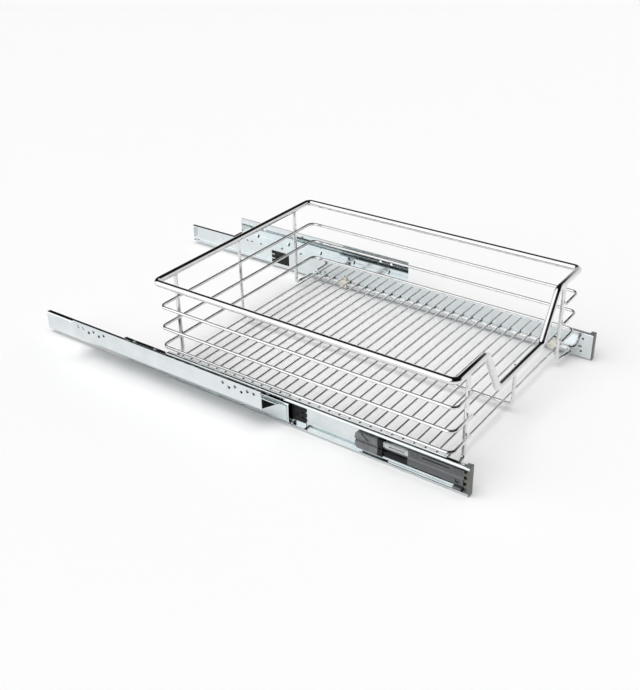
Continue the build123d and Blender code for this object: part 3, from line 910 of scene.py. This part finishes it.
top_slot_depths, top_slot_heights = (4.6 * mm, 9.0 * mm), (30.6 * mm, 32.2 * mm)
top_slot_start, top_slot_end = 20.0 * mm, 60.0 * mm
print("soft-close body:", round(housing_length / mm, 1), "mm long")

# %% [markdown]
# The rooms are cut out of solid blocks. The spring bar's room runs through the sleeve and
# the box, so it is cut from both. Short ribs stiffen the face of the box, and the guide
# arm runs back from the body, above the damper's tube.

# %% Mould the soft-close bodies
def bar_room(near_x, rear, sign):
    """The room for the spring bar."""
    return block_piece(
        "bar_room", outwards(near_x, sign, *bar_room_depths),
        (rear - bar_room_length, rear + overcut), bar_room_heights, slate_plastic,
    )


for side, sign in (("left", -1), ("right", 1)):
    low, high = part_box(side + "_soft_close_housing")
    near_x, far_x = near_and_far(low, high, sign)
    front, back_end = low[1], high[1]
    rear = front + housing_length
    sleeve = block_piece(
        side + "_soft_close_body", (near_x, far_x), (front, rear), sleeve_heights,
        slate_plastic,
    )
    bevel_where(
        sleeve,
        lambda middle, way: along_run(way) and sign * middle.x > abs(far_x) - edge_reach,
        sleeve_round, segments=10,
    )
    box = block_piece(
        "spring_box", outwards(near_x, sign, 0.0, box_depth), (front, rear), box_heights,
        slate_plastic,
    )
    bevel_where(
        box,
        lambda middle, way: along_run(way) and sign * middle.x > abs(near_x) + edge_reach,
        box_round, segments=3,
    )
    ribs = [
        block_piece(
            "rib", outwards(near_x, sign, *rib_depths),
            (front + place, front + place + rib_width), rib_heights, slate_plastic,
        )
        for place in rib_places
    ]
    arm = block_piece(
        "guide_arm", outwards(near_x, sign, *arm_depths), (rear - arm_root, back_end),
        arm_heights, slate_plastic,
    )
    damper_room = block_piece(
        "damper_room", outwards(near_x, sign, *damper_room_depths),
        (rear - damper_room_length, rear + overcut), damper_room_heights, slate_plastic,
    )
    front_pocket = block_piece(
        "front_pocket", outwards(far_x, sign, -pocket_depth, overcut),
        (front + pocket_start, front + pocket_end), pocket_heights, slate_plastic,
    )
    cut_out(sleeve, bar_room(near_x, rear, sign), damper_room, front_pocket)
    top_slot = block_piece(
        "top_slot", outwards(near_x, sign, *top_slot_depths),
        (front + top_slot_start, front + top_slot_end), top_slot_heights, slate_plastic,
    )
    cut_out(box, bar_room(near_x, rear, sign), top_slot)
    stand_for(
        join_pieces(sleeve, box, arm, *ribs), "basket", "grey_plastic",
        side + "_soft_close_housing", side + "_damper_cylinder",
    )

# %% [markdown]
# Two bars leave the unit and end in the black cross plate: the flat spring bar with its
# slot and a groove along its face, and under it the damper's sliding tube. The tube is a
# narrow oval, so that the cage's front end can pass it when the runner closes.

# %% Sizes of the spring bars and the damper tubes
bar_heights, bar_thickness, bar_round = (23.9 * mm, 31.4 * mm), 3.4 * mm, 0.5 * mm
slot_ahead, slot_behind = 11.0 * mm, 13.0 * mm
slot_depths, slot_heights = (-overcut, 5.0 * mm), (26.4 * mm, 28.6 * mm)
groove_depths, groove_heights = (3.0 * mm, 5.0 * mm), (30.0 * mm, 30.6 * mm)
groove_end = 4.0 * mm
tube_length, tube_half_width = 46.0 * mm, 2.3 * mm
tube_heights, tube_round = (9.9 * mm, 17.4 * mm), 2.1 * mm
collar_length = 3.0 * mm
collar_heights, collar_round = (9.7 * mm, 17.6 * mm), 1.6 * mm
print("damper tube:", round(tube_length / mm, 1), "mm long")

# %% [markdown]
# Both travel with the catch, into the body. The tube has a collar where it meets the cross
# plate.

# %% Shape the spring bars and the damper tubes
for side, sign in (("left", -1), ("right", 1)):
    low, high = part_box(side + "_slider_bar")
    near_x = near_and_far(low, high, sign)[0]
    front, plate_y = low[1], high[1]
    middle_y = (front + plate_y) / 2
    bar = block_piece(
        side + "_spring_bar", outwards(near_x, sign, 0.0, bar_thickness), (front, plate_y),
        bar_heights, pale_plastic,
    )
    bevel_where(bar, lambda middle, way: along_run(way), bar_round, segments=2)
    bar_slot = block_piece(
        "bar_slot", outwards(near_x, sign, *slot_depths),
        (middle_y - slot_ahead, middle_y + slot_behind), slot_heights, pale_plastic,
    )
    bar_groove = block_piece(
        "bar_groove", outwards(near_x, sign, *groove_depths),
        (front - overcut, plate_y - groove_end), groove_heights, pale_plastic,
    )
    cut_out(bar, bar_slot, bar_groove)
    stand_for(join_pieces(bar), side + "_catch", "grey_plastic", side + "_slider_bar")

    low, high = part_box(side + "_damper_rod")
    middle_x, tube_end = (low[0] + high[0]) / 2, high[1]
    tube_sides = (middle_x - tube_half_width, middle_x + tube_half_width)
    tube = block_piece(
        side + "_damper_tube", tube_sides, (tube_end - tube_length, tube_end), tube_heights,
        black_plastic,
    )
    bevel_where(tube, lambda middle, way: along_run(way), tube_round, segments=6)
    collar = block_piece(
        "tube_collar", tube_sides, (tube_end - collar_length, tube_end), collar_heights,
        black_plastic,
    )
    bevel_where(collar, lambda middle, way: along_run(way), collar_round, segments=4)
    tube = join_pieces(tube, collar)
    stand_for(tube, side + "_catch", "polished_steel", side + "_damper_rod")

# %% [markdown]
# The channel's front is closed by a moulded cap. Its face has rounded edges at top and
# bottom, a lip lies over the channel, and a plug holds the cap in the channel. Four
# pockets in the plug's rear end keep its walls thin, as moulded parts need.

# %% Mould the end caps
face_foot_z, face_thickness, face_round = 0.05 * mm, 1.35 * mm, 1.2 * mm
cap_top_gap = 1.2 * mm
lip_inset, lip_foot_z, lip_round = 0.6 * mm, 43.1 * mm, 0.5 * mm
lip_start, lip_end = 0.9 * mm, 7.0 * mm
lip_upper_half_z = 44.0 * mm
plug_inset, plug_start, plug_heights = 1.5 * mm, 1.0 * mm, (1.6 * mm, 41.4 * mm)
pocket_feet = [foot * mm for foot in (5.0, 13.5, 23.0, 32.0)]
pocket_height = 5.4 * mm
pocket_inset, pocket_reach = 3.5 * mm, 4.0 * mm
for side, sign in (("left", -1), ("right", 1)):
    low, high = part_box(side + "_channel_end_cap")
    near_x, far_x = near_and_far(low, high, sign)
    front, rear, top = low[1], high[1], high[2] - cap_top_gap
    face = block_piece(
        side + "_cap", (near_x, far_x), (front, front + face_thickness), (face_foot_z, top),
        olive_plastic,
    )
    bevel_where(
        face,
        lambda middle, way: abs(way.x) > 0.99 and middle.y < front + edge_reach,
        face_round, segments=4,
    )
    lip = block_piece(
        "lip", (near_x + sign * lip_inset, far_x), (front + lip_start, front + lip_end),
        (lip_foot_z, top), olive_plastic,
    )
    bevel_where(
        lip,
        lambda middle, way: middle.z > lip_upper_half_z and along_run(way),
        lip_round, segments=2,
    )
    plug = block_piece(
        "plug", (near_x + sign * plug_inset, far_x - sign * plug_inset),
        (front + plug_start, rear), plug_heights, olive_plastic,
    )
    cut_out(plug, *[
        block_piece(
            "pocket", (near_x + sign * pocket_inset, far_x + sign * overcut),
            (rear - pocket_reach, rear + overcut), (foot, foot + pocket_height),
            olive_plastic,
        )
        for foot in pocket_feet
    ])
    cap = join_pieces(face, lip, plug)
    stand_for(cap, "basket", "grey_plastic", side + "_channel_end_cap")

# %% [markdown]
# The ball cage ends in black moulded blocks, which meet the stops. Each block is rounded at
# its free end. Two slots run into it from there, and an upright slit stands behind them.

# %% Mould the cage ends
block_round = 2.4 * mm
fork_feet, fork_height, fork_reach = (6.6 * mm, 14.9 * mm), 2.4 * mm, 7.0 * mm
slit_start, slit_end, slit_inset = 13.0 * mm, 15.2 * mm, 8.0 * mm
for side, sign in (("left", -1), ("right", 1)):
    for end, inward in (("front", 1), ("rear", -1)):
        low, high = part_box(side + "_cage_" + end + "_end")
        near_x, far_x = near_and_far(low, high, sign)
        free_y = low[1] if end == "front" else high[1]
        block = block_piece(
            side + "_cage_" + end + "_block", *zip(low, high), finish=black_plastic
        )
        bevel_where(
            block,
            lambda middle, way: abs(way.x) > 0.99 and abs(middle.y - free_y) < edge_reach,
            block_round, segments=4,
        )
        through = (near_x - sign * overcut, far_x + sign * overcut)
        cuts = [
            block_piece(
                "fork_slot", through,
                (free_y - inward * overcut, free_y + inward * fork_reach),
                (low[2] + foot, low[2] + foot + fork_height), black_plastic,
            )
            for foot in fork_feet
        ]
        cuts.append(block_piece(
            "upright_slit", through,
            (free_y + inward * slit_start, free_y + inward * slit_end),
            (low[2] + slit_inset, high[2] - slit_inset), black_plastic,
        ))
        cut_out(block, *cuts)
        block = join_pieces(block)
        stand_for(block, side + "_cage", "black_plastic", side + "_cage_" + end + "_end")

# %% [markdown]
# The record names a finish slot for every node, so the CAD nodes are dressed in one pass.

# %% Dress the CAD nodes
finish_of_slot = {
    "chrome_wire": chrome,
    "zinc_steel": zinc,
    "polished_steel": steel,
    "grey_plastic": grey_plastic,
    "black_plastic": black_plastic,
    "cream_plastic": cream_plastic,
    "light_plastic": grey_plastic,
}
for node in frame["nodes"].values():
    for slot in node.material_slots:
        slot.material = finish_of_slot[slot.material.name.split(".")[0]]
print("nodes dressed:", len(frame["nodes"]))
